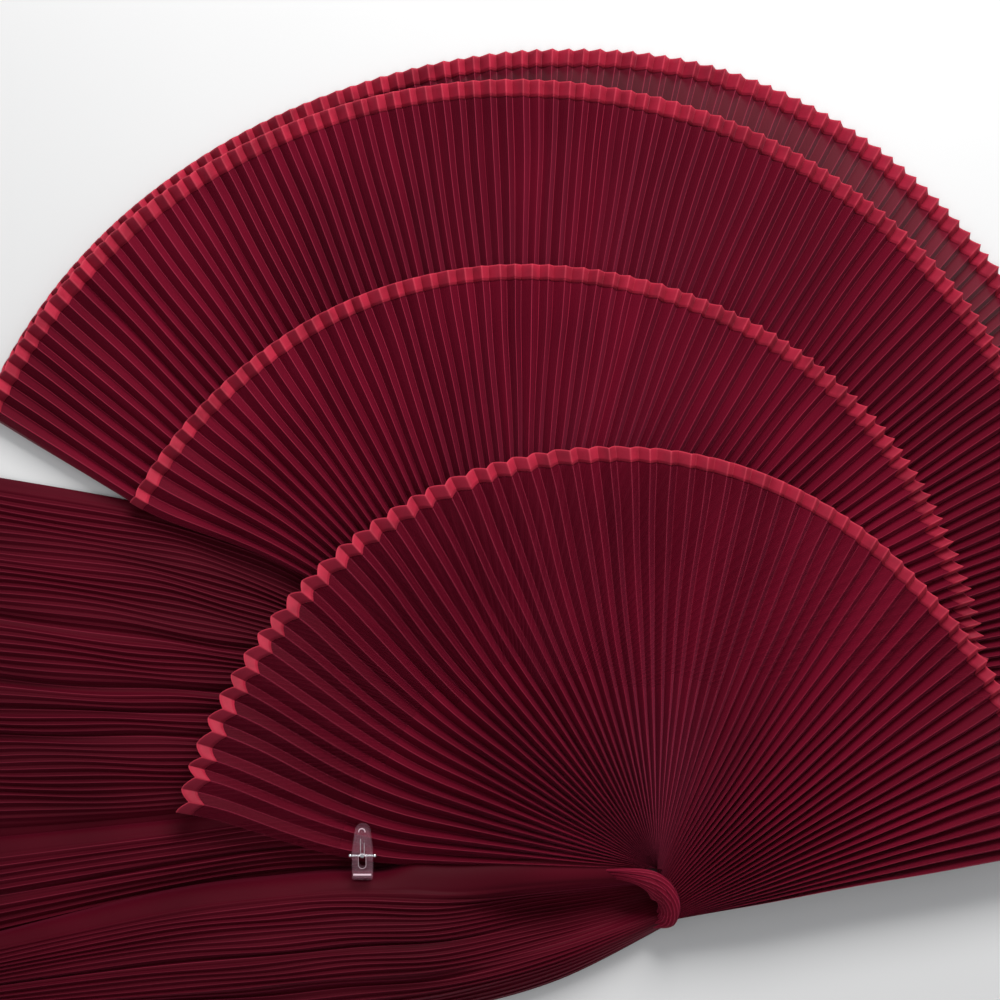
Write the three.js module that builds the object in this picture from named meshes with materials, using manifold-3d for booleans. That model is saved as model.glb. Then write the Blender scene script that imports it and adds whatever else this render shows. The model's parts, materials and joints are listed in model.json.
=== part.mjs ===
// Four-tier pleated organza fan, lying open and flat. Millimetres, +Z up, +Y towards the top of the open leaves.
// Four leaves of accordion-pleated cloth stand one on another. Each spreads from a stitched gather to a hemmed
// round rim, and is cut here into sectors that turn about the gather as the leaf folds up. Three gathered tails
// of the same cloth leave the gathers on the left, and a small clear spring clip holds the front leaf's left
// edge to the front tail.
import * as THREE from "three";
import { mergeVertices } from "three/addons/utils/BufferGeometryUtils.js";
import Module from "manifold-3d";

const wasm = await Module();
wasm.setup();

// ---------------------------------------------------------------- driving dimensions
// Plan positions are taken from the back gather, which is at x = 0, y = 0 until the end of the file.
const clothThickness = 0.35; // a layer of cloth in these solids, measured upwards
const panelWidth = 8.2; // from one crease to the next, along the cloth
const pleatSlump = 0.78; // how much of its full height a soft pleat keeps
const rootHeight = 2.4; // height of the pleats where the stitches crush them
const leafSpacing = 7.2; // from the underside of one leaf to the underside of the next
const gap = 0.3; // clearance between neighbouring pieces

const backGather = { x: 0, y: 0, radius: 9, top: 20.6 };
const frontGatherStart = { x: 72.6, y: -70.4 }; // where the front leaf's left pleats meet the gather
const frontGatherEnd = { x: 86.4, y: -97.4 }; // where its last right pleat meets it
const frontGather = { radius: 4.4, top: 32.6, stretch: 2.6 }; // its plan is drawn out along that line
const waistDepth = 1.5; // groove that the stitching thread pulls into a gather
const threadRadius = 0.6;
// Outline of a gather from its foot up, as shares of its radius and of its height. Its waist is set in by waistDepth.
const gatherOutline = { waistStart: 0.4, waistLow: 0.46, waistHigh: 0.54, waistEnd: 0.6, brim: 0.94, crown: 0.8 };

// rim: circle that the hem lies on; arc: its first and last direction in degrees, from the left edge clockwise;
// pleatTaper: how much wider the left pleats are than the mean; edgeBow: sideways bend of the left edge in
// degrees, bowReach the share of the leaf that it fades over, and bowFade where along a crease it dies out;
// rings: where along a crease the bowed sectors have points; the straight ones need only its two ends;
// rimDrift: how far the hem lies outside its circle, at even steps from the left edge to the right edge.
const leaves = [
  {
    name: "back_leaf", level: 0, rim: { x: 7.4, y: 50.6, radius: 332.2 }, arc: [157, -4.7],
    rootStart: backGather, rootEnd: backGather, rootClearance: 12,
    sectors: 12, pleatsPerSector: 9, pleatTaper: 0.08,
    edgeBow: -7, bowReach: 0.16, bowFade: [0.4, 0.7], rings: [0, 0.4, 1],
    rimDrift: [3, 1.1, -2.8, -4.4, -1.1, 3.9, 2.8, -1.9, -2, -1, 0],
  },
  {
    name: "third_leaf", level: 1, rim: { x: -14.6, y: 52.2, radius: 313 }, arc: [155.8, -5.8],
    rootStart: backGather, rootEnd: backGather, rootClearance: 12,
    sectors: 12, pleatsPerSector: 9, pleatTaper: 0.28,
    edgeBow: -7, bowReach: 0.16, bowFade: [0.4, 0.7], rings: [0, 0.4, 1],
    rimDrift: [0, -1.1, -2.8, -2, 0.6, 3.9, 6.6, 7.7, 6, 3, 0],
  },
  {
    name: "second_leaf", level: 2, rim: { x: 5.5, y: 9.9, radius: 250.8 }, arc: [151.6, 1.8],
    rootStart: backGather, rootEnd: backGather, rootClearance: 12,
    sectors: 11, pleatsPerSector: 7, pleatTaper: 0.28,
    edgeBow: -6, bowReach: 0.16, bowFade: [0.5, 1], rings: [0, 0.55, 1],
    rimDrift: [2.2, 2.2, 2.8, 1.7, 0, -0.6, 0, -0.6, -2.2, -2, -1],
  },
  {
    name: "front_leaf", level: 3, rim: { x: 49, y: -83, radius: 241 }, arc: [169.6, 5.2],
    rootStart: frontGatherStart, rootEnd: frontGatherEnd, rootClearance: 9,
    sectors: 11, pleatsPerSector: 6, pleatTaper: 0.32,
    edgeBow: 6, bowReach: 0.6, bowFade: [0.5, 1], rings: [0, 0.58, 1],
    rimDrift: [0, -2.2, -0.6, 2.2, 2.8, 2.8, 0.6, -2.2, -1.5, -1, 0],
  },
];
const narrowShare = [0.44, 0.24]; // the falling panel's share of a pleat, at the left edge and at the right edge

// The tails, as points of their two long edges from the gather outwards, with the crown's height along them.
const tails = [
  {
    name: "back_tail",
    upper: [[-16, 8], [-62, 44], [-119, 84], [-167, 108], [-216, 128], [-301, 146]],
    lower: [[-17, -4], [-60, -16], [-122, -31], [-186, -41], [-246, -47], [-301, -51]],
    crown: [6, 17, 19, 19, 19, 17], hollow: 0,
  },
  {
    name: "middle_tail",
    upper: [[48, -68], [0, -52], [-58, -42], [-122, -37], [-200, -46], [-300, -56]],
    lower: [[52, -71], [-10, -70.5], [-70, -73], [-134, -78], [-200, -88.5], [-300, -116]],
    crown: [6, 14, 17, 18, 18, 17], hollow: 0,
  },
  {
    name: "front_tail",
    upper: [[68, -77], [10, -74], [-40, -75.5], [-92, -77], [-134, -81.5], [-200, -92], [-300, -120]],
    lower: [[76, -100], [20, -124], [-40, -146], [-100, -160], [-150, -166], [-210, -168], [-296, -168]],
    crown: [14, 33, 38, 40, 40, 38, 34], hollow: 0.55, isClipped: true,
  },
];
const tailSteps = 14; // along a tail
const tailRows = 10; // across it
const tailEdgeHeight = 2.2; // thickness of the cloth bundle along a tail's long edges

const clip = {
  x: -88.8, jawY: -74.6, length: 30, width: 11.4, plate: 1.5, handleWidth: 8.6,
  cornerRadius: 0.8, shoulder: 3, // the lever narrows from this far past the pin
  pinFromJaw: 12.6, pinDiameter: 1.5, pinLength: 15.4, pinBall: 2.1, pinHeight: 5.2,
  slotWidth: 4, slotLength: 8.4, tilt: 12, bite: 1.4, plateOverPin: 2.6,
  jawDepth: 4.2, jawHeight: 3.4, jawInset: 0.3,
  cheek: 1.2, cheekDepth: 4.4, cheekPastPin: 1.7, // the ears that hang on the pin
  springCoil: 3.4, springCoilHalf: 1.4, springWire: 0.8, springArm: 9, springArmStart: 0.3,
};
// The clip lies on the top of the front leaf.
const clipBase = leafSpacing * (leaves.length - 1) + panelWidth * pleatSlump + clothThickness + gap;
// The pinch of tail cloth held in the jaws, and the fold of cloth that leads up to it from below.
const tongue = { length: 7, width: 8, thickness: 0.8, pastJaw: 1.2 };
const tongueFold = { depth: 3.2, pastJaw: 4.2 };

// ---------------------------------------------------------------- materials
const makeMaterial = (color, roughness, metalness = 0, opacity = 1) =>
  new THREE.MeshStandardMaterial({ color, roughness, metalness, opacity, transparent: opacity < 1 });
const organza = makeMaterial(0x8e1430, 0.55, 0, 0.9);
const thread = makeMaterial(0x6e1024, 0.7);
const clearPlastic = makeMaterial(0xe6dfe2, 0.12, 0, 0.35);
const springSteel = makeMaterial(0xb9b9bd, 0.25, 1);

// ---------------------------------------------------------------- helpers
const radians = THREE.MathUtils.degToRad;
const blend = THREE.MathUtils.lerp;
const smooth = (x, from, to) => THREE.MathUtils.smoothstep(x, from, to);

// Value at a share of the way along a list of evenly spaced values, joined by a smooth curve.
const valueAlong = (values, share) =>
  new THREE.SplineCurve(values.map((value) => new THREE.Vector2(0, value))).getPoint(share).y;

const group = new THREE.Group();

function addMesh(name, geometry, material) {
  const mesh = new THREE.Mesh(geometry, material.clone());
  mesh.name = name;
  group.add(mesh);
  return mesh;
}

// A closed skin around a grid of upper points over a grid of lower points, both given by row and column.
function gridSolid(rows, columns, upperPoint, lowerPoint) {
  const positions = [];
  const triangles = [];
  for (const pointOf of [upperPoint, lowerPoint]) {
    for (let row = 0; row <= rows; row++) {
      for (let column = 0; column <= columns; column++) positions.push(...pointOf(row, column));
    }
  }
  const stride = columns + 1;
  const lowerStart = (rows + 1) * stride;
  const quad = (a, b, c, d) => triangles.push(a, b, c, a, c, d);
  for (let row = 0; row < rows; row++) {
    for (let column = 0; column < columns; column++) {
      const corner = row * stride + column;
      const across = corner + stride;
      quad(corner, corner + 1, across + 1, across);
      quad(lowerStart + corner, lowerStart + across, lowerStart + across + 1, lowerStart + corner + 1);
    }
  }
  for (let column = 0; column < columns; column++) {
    const last = rows * stride + column;
    quad(column, lowerStart + column, lowerStart + column + 1, column + 1);
    quad(last, last + 1, lowerStart + last + 1, lowerStart + last);
  }
  for (let row = 0; row < rows; row++) {
    const first = row * stride;
    const last = first + columns;
    quad(first, first + stride, lowerStart + first + stride, lowerStart + first);
    quad(last, lowerStart + last, lowerStart + last + stride, last + stride);
  }
  const geometry = new THREE.BufferGeometry();
  geometry.setAttribute("position", new THREE.Float32BufferAttribute(positions, 3));
  geometry.setIndex(triangles);
  return geometry;
}

function toSolid(geometry) {
  const bare = geometry.clone();
  bare.deleteAttribute("normal");
  bare.deleteAttribute("uv");
  const merged = mergeVertices(bare, 1e-4);
  return new wasm.Manifold(new wasm.Mesh({
    numProp: 3,
    vertProperties: new Float32Array(merged.attributes.position.array),
    triVerts: new Uint32Array(merged.index.array),
  }));
}

function toGeometry(solid) {
  const mesh = solid.getMesh();
  const geometry = new THREE.BufferGeometry();
  geometry.setAttribute("position", new THREE.BufferAttribute(mesh.vertProperties, 3));
  geometry.setIndex(new THREE.BufferAttribute(mesh.triVerts, 1));
  return geometry;
}

const box = (width, depth, height, x, y, z) =>
  toSolid(new THREE.BoxGeometry(width, depth, height).translate(x, y, z));

const rodAlongX = (radius, length, x, y, z) =>
  toSolid(new THREE.CylinderGeometry(radius, radius, length, 16).rotateZ(Math.PI / 2).translate(x, y, z));

// ---------------------------------------------------------------- pleated leaves
const pleatCount = (leaf) => leaf.sectors * leaf.pleatsPerSector;

// Point of a crease. t runs from the left edge (0) to the right edge (1), s from the gather (0) to the rim (1).
function creasePoint(leaf, t, s, isRidge) {
  const spread = t + leaf.pleatTaper * t * (1 - t);
  const direction = radians(blend(leaf.arc[0], leaf.arc[1], spread));
  const along = smooth(t, 0.45, 1);
  const root = new THREE.Vector2(
    blend(leaf.rootStart.x, leaf.rootEnd.x, along),
    blend(leaf.rootStart.y, leaf.rootEnd.y, along),
  );
  const rimRadius = leaf.rim.radius + valueAlong(leaf.rimDrift, t);
  const crease = new THREE.Vector2(
    leaf.rim.x + rimRadius * Math.cos(direction) - root.x,
    leaf.rim.y + rimRadius * Math.sin(direction) - root.y,
  );
  const reach = crease.length();
  const fromRoot = blend(leaf.rootClearance, reach, s);
  const bow = leaf.edgeBow * Math.max(0, 1 - t / leaf.bowReach) ** 1.5 * (1 - smooth(s, ...leaf.bowFade));
  crease.setLength(fromRoot).rotateAround(new THREE.Vector2(), radians(bow));
  const rimPitch = (leaf.rim.radius * radians(leaf.arc[0] - leaf.arc[1])
    * (1 + leaf.pleatTaper * (1 - 2 * t))) / pleatCount(leaf);
  const halfPitch = (rimPitch * fromRoot) / reach / 2;
  const fullHeight = pleatSlump * Math.sqrt(panelWidth ** 2 - halfPitch ** 2);
  const height = blend(rootHeight, fullHeight, smooth(s, 0, 0.3));
  const lift = leaf.level * leafSpacing + (isRidge ? height : 0);
  return [root.x + crease.x, root.y + crease.y, lift];
}

function leafSector(leaf, index) {
  const pleats = pleatCount(leaf);
  const rings = index / leaf.sectors < leaf.bowReach ? leaf.rings : [0, 1];
  const columns = 2 * leaf.pleatsPerSector;
  const pointOf = (raise) => (row, column) => {
    const pleat = index * leaf.pleatsPerSector + Math.floor(column / 2);
    const isRidge = column % 2 === 1;
    const t = (pleat + (isRidge ? 1 - blend(...narrowShare, pleat / pleats) : 0)) / pleats;
    const [x, y, z] = creasePoint(leaf, t, rings[row], isRidge);
    // The sector is squeezed evenly towards its middle, to stay clear of its neighbours by half a gap.
    const squeeze = (gap / 2) * ((2 * column) / columns - 1);
    const shift = new THREE.Vector2(leaf.rootStart.y - y, x - leaf.rootStart.x).setLength(1).multiplyScalar(squeeze);
    return [x + shift.x, y + shift.y, z + raise];
  };
  return gridSolid(rings.length - 1, columns, pointOf(clothThickness), pointOf(0));
}

function addLeaves() {
  for (const leaf of leaves) {
    for (let index = 0; index < leaf.sectors; index++) {
      const number = String(index + 1).padStart(2, "0");
      addMesh(`${leaf.name}_sector_${number}`, leafSector(leaf, index), organza);
    }
  }
}

// ---------------------------------------------------------------- tails and gathers
const curveOf = (points) => new THREE.CatmullRomCurve3(points.map(([x, y]) => new THREE.Vector3(x, y, 0)));

// A tail is a low mound between its two long edges, standing on the surface; hollow sinks its middle near the gather.
function tailGeometry(tail) {
  const upperEdge = curveOf(tail.upper);
  const lowerEdge = curveOf(tail.lower);
  const planPoint = (row, column) => {
    const u = row / tailSteps;
    return lowerEdge.getPoint(u).lerp(upperEdge.getPoint(u), column / tailRows);
  };
  const topPoint = (row, column) => {
    const { x, y } = planPoint(row, column);
    const u = row / tailSteps;
    const v = column / tailRows;
    const mound = Math.sin(Math.PI * v) ** 0.6;
    const sink = tail.hollow * (1 - smooth(u, 0.15, 0.55)) * smooth(v, 0.3, 0.6) * (1 - smooth(v, 0.7, 0.95));
    const rise = valueAlong(tail.crown, u) - tailEdgeHeight;
    return [x, y, tailEdgeHeight + rise * mound * (1 - sink)];
  };
  const basePoint = (row, column) => {
    const { x, y } = planPoint(row, column);
    return [x, y, 0];
  };
  return gridSolid(tailSteps, tailRows, topPoint, basePoint);
}

// Stack of crushed pleats that the stitches hold: a squat turned body, waisted where the thread goes round.
function gatherCore(radius, height) {
  const { waistStart, waistLow, waistHigh, waistEnd, brim, crown } = gatherOutline;
  const profile = [
    new THREE.Vector2(0, 0),
    new THREE.Vector2(radius, 0),
    new THREE.Vector2(radius, height * waistStart),
    new THREE.Vector2(radius - waistDepth, height * waistLow),
    new THREE.Vector2(radius - waistDepth, height * waistHigh),
    new THREE.Vector2(radius, height * waistEnd),
    new THREE.Vector2(radius, height * brim),
    new THREE.Vector2(radius * crown, height),
    new THREE.Vector2(0, height),
  ];
  return new THREE.LatheGeometry(profile, 16).rotateX(Math.PI / 2);
}

function threadRing(radius, height) {
  const ring = new THREE.TorusGeometry(radius - waistDepth + threadRadius + gap, threadRadius, 6, 16);
  return ring.translate(0, 0, height / 2);
}

// The tongue of cloth between the jaws and the fold under it that joins it to the tail.
function clippedPinch() {
  const middle = clipBase + clip.plate + gap + tongue.thickness / 2;
  const top = middle + tongue.thickness / 2;
  const pinch = box(tongue.width, tongue.length, tongue.thickness, clip.x, clip.jawY - tongue.pastJaw, middle);
  const fold = box(tongue.width, tongueFold.depth, top, clip.x, clip.jawY - tongueFold.pastJaw, top / 2);
  return pinch.add(fold);
}

function addTails() {
  for (const tail of tails) {
    const solid = toSolid(tailGeometry(tail));
    const shape = tail.isClipped ? solid.add(clippedPinch()) : solid;
    addMesh(tail.name, toGeometry(shape), organza);
  }
}

function addGathers() {
  addMesh("back_gather", gatherCore(backGather.radius, backGather.top), organza);
  addMesh("back_gather_thread", threadRing(backGather.radius, backGather.top), thread);
  const run = { x: frontGatherEnd.x - frontGatherStart.x, y: frontGatherEnd.y - frontGatherStart.y };
  const place = (geometry) => geometry
    .scale(frontGather.stretch, 1, 1)
    .rotateZ(Math.atan2(run.y, run.x))
    .translate(frontGatherStart.x + run.x / 2, frontGatherStart.y + run.y / 2, 0);
  addMesh("front_gather", place(gatherCore(frontGather.radius, frontGather.top)), organza);
  addMesh("front_gather_thread", place(threadRing(frontGather.radius, frontGather.top)), thread);
}

// ---------------------------------------------------------------- clip
// Outline of a lever in plan: square jaw end at y = 0, rounded narrower handle end, slot over the spring.
function leverPlate() {
  const half = clip.width / 2;
  const handle = clip.handleWidth / 2;
  const corner = clip.cornerRadius;
  const shoulder = clip.pinFromJaw + clip.shoulder;
  const outline = new THREE.Shape();
  outline.moveTo(-half + corner, 0);
  outline.lineTo(half - corner, 0);
  outline.quadraticCurveTo(half, 0, half, corner);
  outline.lineTo(half, shoulder);
  outline.lineTo(handle, clip.length - handle);
  outline.absarc(0, clip.length - handle, handle, 0, Math.PI, false);
  outline.lineTo(-half, shoulder);
  outline.lineTo(-half, corner);
  outline.quadraticCurveTo(-half, 0, -half + corner, 0);
  const slot = new THREE.Path();
  const slotHalf = clip.slotWidth / 2;
  const slotStart = clip.pinFromJaw - clip.slotLength / 2;
  const slotEnd = clip.pinFromJaw + clip.slotLength / 2;
  slot.moveTo(-slotHalf, slotStart + slotHalf);
  slot.absarc(0, slotStart + slotHalf, slotHalf, Math.PI, 2 * Math.PI, false);
  slot.lineTo(slotHalf, slotEnd - slotHalf);
  slot.absarc(0, slotEnd - slotHalf, slotHalf, 0, Math.PI, false);
  outline.holes.push(slot);
  return new THREE.ExtrudeGeometry(outline, { depth: clip.plate, bevelEnabled: false, curveSegments: 8 });
}

// Ears that hang on the pin: two cheeks in the lever's own frame, inset from its long sides.
function cheeks(inset, from, to) {
  const x = clip.width / 2 - clip.cheek / 2 - inset;
  const ear = (side) => box(clip.cheek, clip.cheekDepth, to - from, side * x, clip.pinFromJaw, (from + to) / 2);
  return ear(-1).add(ear(1));
}

function addClip() {
  const place = (geometry) => geometry.translate(clip.x, clip.jawY, clipBase);
  const weld = 0.1; // how far joined pieces of plastic run into each other
  const bore = rodAlongX(clip.pinDiameter / 2 + gap / 2, clip.width + 2, 0, clip.pinFromJaw, clip.pinHeight);
  const lower = toSolid(leverPlate())
    .add(cheeks(0, clip.plate - weld, clip.pinHeight + clip.cheekPastPin))
    .subtract(bore);
  addMesh("clip_lower_lever", place(toGeometry(lower)), clearPlastic);

  const plate = leverPlate()
    .translate(0, -clip.pinFromJaw, clip.plateOverPin)
    .rotateX(radians(clip.tilt))
    .translate(0, clip.pinFromJaw, clip.pinHeight);
  const jawMiddle = clip.plate + clip.bite + clip.jawHeight / 2;
  const jaw = box(clip.width - 2 * clip.jawInset, clip.jawDepth, clip.jawHeight, 0, clip.jawDepth / 2, jawMiddle);
  const cheekTop = clip.pinHeight + clip.plateOverPin + clip.plate / 2;
  const upper = toSolid(plate)
    .add(jaw)
    .add(cheeks(clip.cheek + gap, clip.pinHeight - clip.cheekPastPin, cheekTop))
    .subtract(bore);
  addMesh("clip_upper_lever", place(toGeometry(upper)), clearPlastic);

  const pin = rodAlongX(clip.pinDiameter / 2, clip.pinLength - clip.pinBall, 0, clip.pinFromJaw, clip.pinHeight);
  const ball = (side) => toSolid(new THREE.SphereGeometry(clip.pinBall / 2, 14, 10)
    .translate((side * (clip.pinLength - clip.pinBall)) / 2, clip.pinFromJaw, clip.pinHeight));
  addMesh("clip_pin", place(toGeometry(pin.add(ball(-1)).add(ball(1)))), springSteel);

  const coilBore = clip.pinDiameter / 2 + gap;
  const coilProfile = [
    new THREE.Vector2(coilBore, -clip.springCoilHalf),
    new THREE.Vector2(clip.springCoil / 2, -clip.springCoilHalf),
    new THREE.Vector2(clip.springCoil / 2, clip.springCoilHalf),
    new THREE.Vector2(coilBore, clip.springCoilHalf),
    new THREE.Vector2(coilBore, -clip.springCoilHalf),
  ];
  const coil = toSolid(new THREE.LatheGeometry(coilProfile, 20)
    .rotateZ(Math.PI / 2)
    .translate(0, clip.pinFromJaw, clip.pinHeight));
  const armY = clip.pinFromJaw + clip.springArmStart + clip.springArm / 2;
  const armZ = clip.pinHeight - clip.springCoil / 2 + clip.springWire / 2;
  const arm = box(clip.springWire, clip.springArm, clip.springWire, 0, armY, armZ);
  addMesh("clip_spring", place(toGeometry(coil.add(arm))), springSteel);
}

// ---------------------------------------------------------------- assembly
addLeaves();
addTails();
addGathers();
addClip();

const bounds = new THREE.Box3().setFromObject(group, true);
const middle = bounds.getCenter(new THREE.Vector3());
group.position.set(-middle.x, -middle.y, -bounds.min.z);

export default group;
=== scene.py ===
"""Pleated organza fan: cloth, gathers, clip, floor, lights and camera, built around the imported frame."""
import json
import math
from typing import NamedTuple

import bpy
import numpy as np
from bpy.props import FloatProperty, FloatVectorProperty, IntProperty, PointerProperty
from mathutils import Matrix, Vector


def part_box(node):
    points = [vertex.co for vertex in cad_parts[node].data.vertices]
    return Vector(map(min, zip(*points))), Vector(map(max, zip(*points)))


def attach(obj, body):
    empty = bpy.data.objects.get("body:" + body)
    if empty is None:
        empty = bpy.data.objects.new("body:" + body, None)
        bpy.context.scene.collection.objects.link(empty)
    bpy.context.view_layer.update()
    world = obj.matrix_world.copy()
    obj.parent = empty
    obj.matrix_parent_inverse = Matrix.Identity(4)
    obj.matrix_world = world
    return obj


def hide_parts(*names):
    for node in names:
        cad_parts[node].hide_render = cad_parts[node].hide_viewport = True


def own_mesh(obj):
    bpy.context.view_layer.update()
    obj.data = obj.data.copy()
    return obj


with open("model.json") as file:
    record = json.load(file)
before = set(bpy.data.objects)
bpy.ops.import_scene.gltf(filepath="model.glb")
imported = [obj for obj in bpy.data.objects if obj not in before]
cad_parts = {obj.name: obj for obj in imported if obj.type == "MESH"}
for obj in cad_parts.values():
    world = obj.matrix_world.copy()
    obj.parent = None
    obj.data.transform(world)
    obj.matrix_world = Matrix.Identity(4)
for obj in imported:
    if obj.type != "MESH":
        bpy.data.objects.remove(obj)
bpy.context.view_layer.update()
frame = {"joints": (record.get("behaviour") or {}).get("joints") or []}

bl_info = {
    "name": "Pleated organza fan",
    "version": (1, 0, 0),
    "blender": (4, 5, 0),
    "location": "3D View > Sidebar > Fan",
    "description": "Builds the cloth, gathers, clip and stage of a four-tier pleated fan around its frame",
    "category": "Object",
}

MM = 0.001
JOINTS = {joint["name"]: joint for joint in frame["joints"]}
BACK_PIVOT = np.array(JOINTS["back_leaf_fold"]["pos_m"][:2])
FRONT_PIVOT = np.array(JOINTS["front_leaf_fold"]["pos_m"][:2])


class Leaf(NamedTuple):
    """A round leaf of pleated cloth. Plan lengths are in millimetres from the back gather."""
    name: str
    rim_centre: tuple
    rim_radius: float
    arc: tuple  # first and last direction on the rim, in degrees, clockwise from the left edge
    roots: tuple  # where the leftmost and the rightmost pleat meet the gather
    pivot: np.ndarray
    sectors: int
    pleats_per_sector: int
    taper: float  # how much wider the left pleats are than the mean
    edge_bow: float  # sideways bend of the left edge, in degrees
    bow_reach: float  # share of the leaf that the bend fades over
    bow_fade: tuple  # where along a crease the bend dies out
    valley_tip: tuple  # how far the valleys stand out at the rim at the left edge, the top and the right edge
    cover: tuple  # share of the light that one layer stops, at the left edge and at the right edge
    hem_painted_light: tuple  # painted light of the hem's rising panels at the left edge, the top and the right edge; lower values paint them in shade
    rim_drift: tuple  # how far the hem lies outside its circle, at even steps from the left to the right edge
    clearance: tuple = (6.0, 6.0)  # from the root to where the cloth starts, at the left and the right edge
    lining: tuple = ()  # reach of a second layer, at even steps from left to right; empty for none
    rim_lift: float = 0.0  # how far the left part of the rim curls up


BACK_ROOTS = ((0.0, 0.0), (0.0, 0.0))
FRONT_ROOTS = ((72.6, -70.4), (86.4, -97.4))
LEAVES = (
    Leaf("back_leaf", rim_centre=(7.4, 50.6), rim_radius=332.2, arc=(157.0, -4.7),
         roots=BACK_ROOTS, pivot=BACK_PIVOT, sectors=12, pleats_per_sector=9, taper=0.08,
         edge_bow=-7.0, bow_reach=0.16, bow_fade=(0.4, 0.7), valley_tip=(1.6, -0.8, -3.0),
         cover=(0.88, 0.84), hem_painted_light=(0.4, 0.6, 0.5),
         rim_drift=(3, 1.1, -2.8, -4.4, -1.1, 3.9, 2.8, -1.9, -2, -1, 0)),
    Leaf("third_leaf", rim_centre=(-14.6, 52.2), rim_radius=313.0, arc=(155.8, -5.8),
         roots=BACK_ROOTS, pivot=BACK_PIVOT, sectors=12, pleats_per_sector=9, taper=0.28,
         edge_bow=-7.0, bow_reach=0.16, bow_fade=(0.4, 0.7), valley_tip=(2.0, -0.4, -3.0),
         cover=(0.86, 0.86), hem_painted_light=(0.3, 0.7, 0.3),
         rim_drift=(0, -1.1, -2.8, -2, 0.6, 3.9, 6.6, 7.7, 6, 3, 0)),
    Leaf("second_leaf", rim_centre=(5.5, 9.9), rim_radius=250.8, arc=(151.6, 1.8),
         roots=BACK_ROOTS, pivot=BACK_PIVOT, sectors=11, pleats_per_sector=7, taper=0.28,
         edge_bow=-6.0, bow_reach=0.16, bow_fade=(0.5, 1.0), valley_tip=(1.6, -0.6, -5.2),
         cover=(0.80, 0.86), hem_painted_light=(0.3, 0.8, 0.3),
         rim_drift=(2.2, 2.2, 2.8, 1.7, 0, -0.6, 0, -0.6, -2.2, -2, -1)),
    Leaf("front_leaf", rim_centre=(49.0, -83.0), rim_radius=241.0, arc=(169.6, 5.2),
         roots=FRONT_ROOTS, pivot=FRONT_PIVOT, sectors=11, pleats_per_sector=6, taper=0.32,
         edge_bow=6.0, bow_reach=0.6, bow_fade=(0.5, 1.0), valley_tip=(6.0, 1.0, -3.6),
         cover=(0.62, 0.76), hem_painted_light=(0.12, 0.7, 0.3),
         rim_drift=(0, -2.2, -0.6, 2.2, 2.8, 2.8, 0.6, -2.2, -1.5, -1, 0),
         clearance=(-3.0, -8.0), lining=(0.68, 0.6, 0.44, 0.58, 0.95, 1.04), rim_lift=5.0),
)
NARROW_SHARE = (0.44, 0.24)  # the falling panel's share of a pleat, at the left edge and at the right edge
LINING_DROP = 0.9  # from a leaf's cloth down to its lining
LINING_REACH = 0.985  # the furthest that a lining goes along a crease
SECTOR_NODE = "{}_sector_{:02d}"


# ---------------------------------------------------------------- settings

def length_mm(name, default, description):
    """A length property kept in millimetres."""
    return FloatProperty(name=name, description=description, default=default, min=0.0, unit="NONE")


def colour(name, default, description):
    """A linear colour property."""
    return FloatVectorProperty(name=name, description=description, default=default, size=3,
                               min=0.0, max=1.0, subtype="COLOR")


def light_power(name, default):
    """The power of a light, in watts."""
    return FloatProperty(name=name, description=f"Power of the {name.lower()}", default=default, unit="POWER")


class ClothSettings(bpy.types.PropertyGroup):
    """Sizes and colours of the organza."""
    panel_width: length_mm("Panel width", 8.2, "Cloth between one crease and the next, in millimetres")
    slump: FloatProperty(name="Slump", description="Share of its full height that a pleat keeps",
                         default=0.78, min=0.1, max=1.0, subtype="FACTOR")
    root_height: length_mm("Root height", 2.4, "Height of the pleats at the stitches, in millimetres")
    hem_depth: length_mm("Hem depth", 8.6, "Depth of the turned hem, in millimetres")
    hem_thickness: length_mm("Hem thickness", 0.5, "Thickness of the turned hem, in millimetres")
    rows: IntProperty(name="Rows", description="Steps along a crease", default=40, min=4)
    cloth_colour: colour("Cloth", (0.094, 0.0022, 0.0105), "Colour of a single layer of organza")
    # Lighter colour along pressed creases: partly their denser threads, partly a painted highlight on the
    # crease ridges
    crease_highlight_colour: colour("Crease", (0.46, 0.042, 0.09), "Colour along a pressed crease")
    hem_colour: colour("Hem", (0.36, 0.015, 0.038), "Colour of the turned hem")


class TailSettings(bpy.types.PropertyGroup):
    """Sizes of the gathered tails."""
    pleat_height: length_mm("Tail pleat height", 2.6, "Height of a pleat in the tails, in millimetres")
    rows: IntProperty(name="Rows", description="Steps along a tail", default=72, min=8)


class ClipSettings(bpy.types.PropertyGroup):
    """Sizes and colours of the spring clip."""
    tooth_pitch: length_mm("Tooth pitch", 1.2, "Distance between the jaw's teeth, in millimetres")
    wire: length_mm("Wire", 0.55, "Diameter of the spring's wire, in millimetres")
    plastic_colour: colour("Plastic", (0.28, 0.085, 0.125), "Colour of the clear plastic")
    metal_colour: colour("Metal", (0.78, 0.78, 0.80), "Colour of the pin and the spring")


class StageSettings(bpy.types.PropertyGroup):
    """Floor, lights and camera."""
    floor_colour: colour("Floor", (0.60, 0.595, 0.59), "Colour of the plain floor")
    view_width: FloatProperty(name="View width", description="Width of floor that the camera takes in",
                              default=0.55, min=0.05, unit="LENGTH")
    camera_height: FloatProperty(name="Camera height", description="Height of the camera over the cloth",
                                 default=1.7, min=0.2, unit="LENGTH")
    key_watts: light_power("Key light", 29.0)
    fill_watts: light_power("Fill light", 4.0)


# ---------------------------------------------------------------- small helpers

def smooth(x, low, high):
    """Smoothstep of x between low and high, for numbers and arrays."""
    share = np.clip((np.asarray(x, float) - low) / (high - low), 0.0, 1.0)
    return share * share * (3.0 - 2.0 * share)


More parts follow.
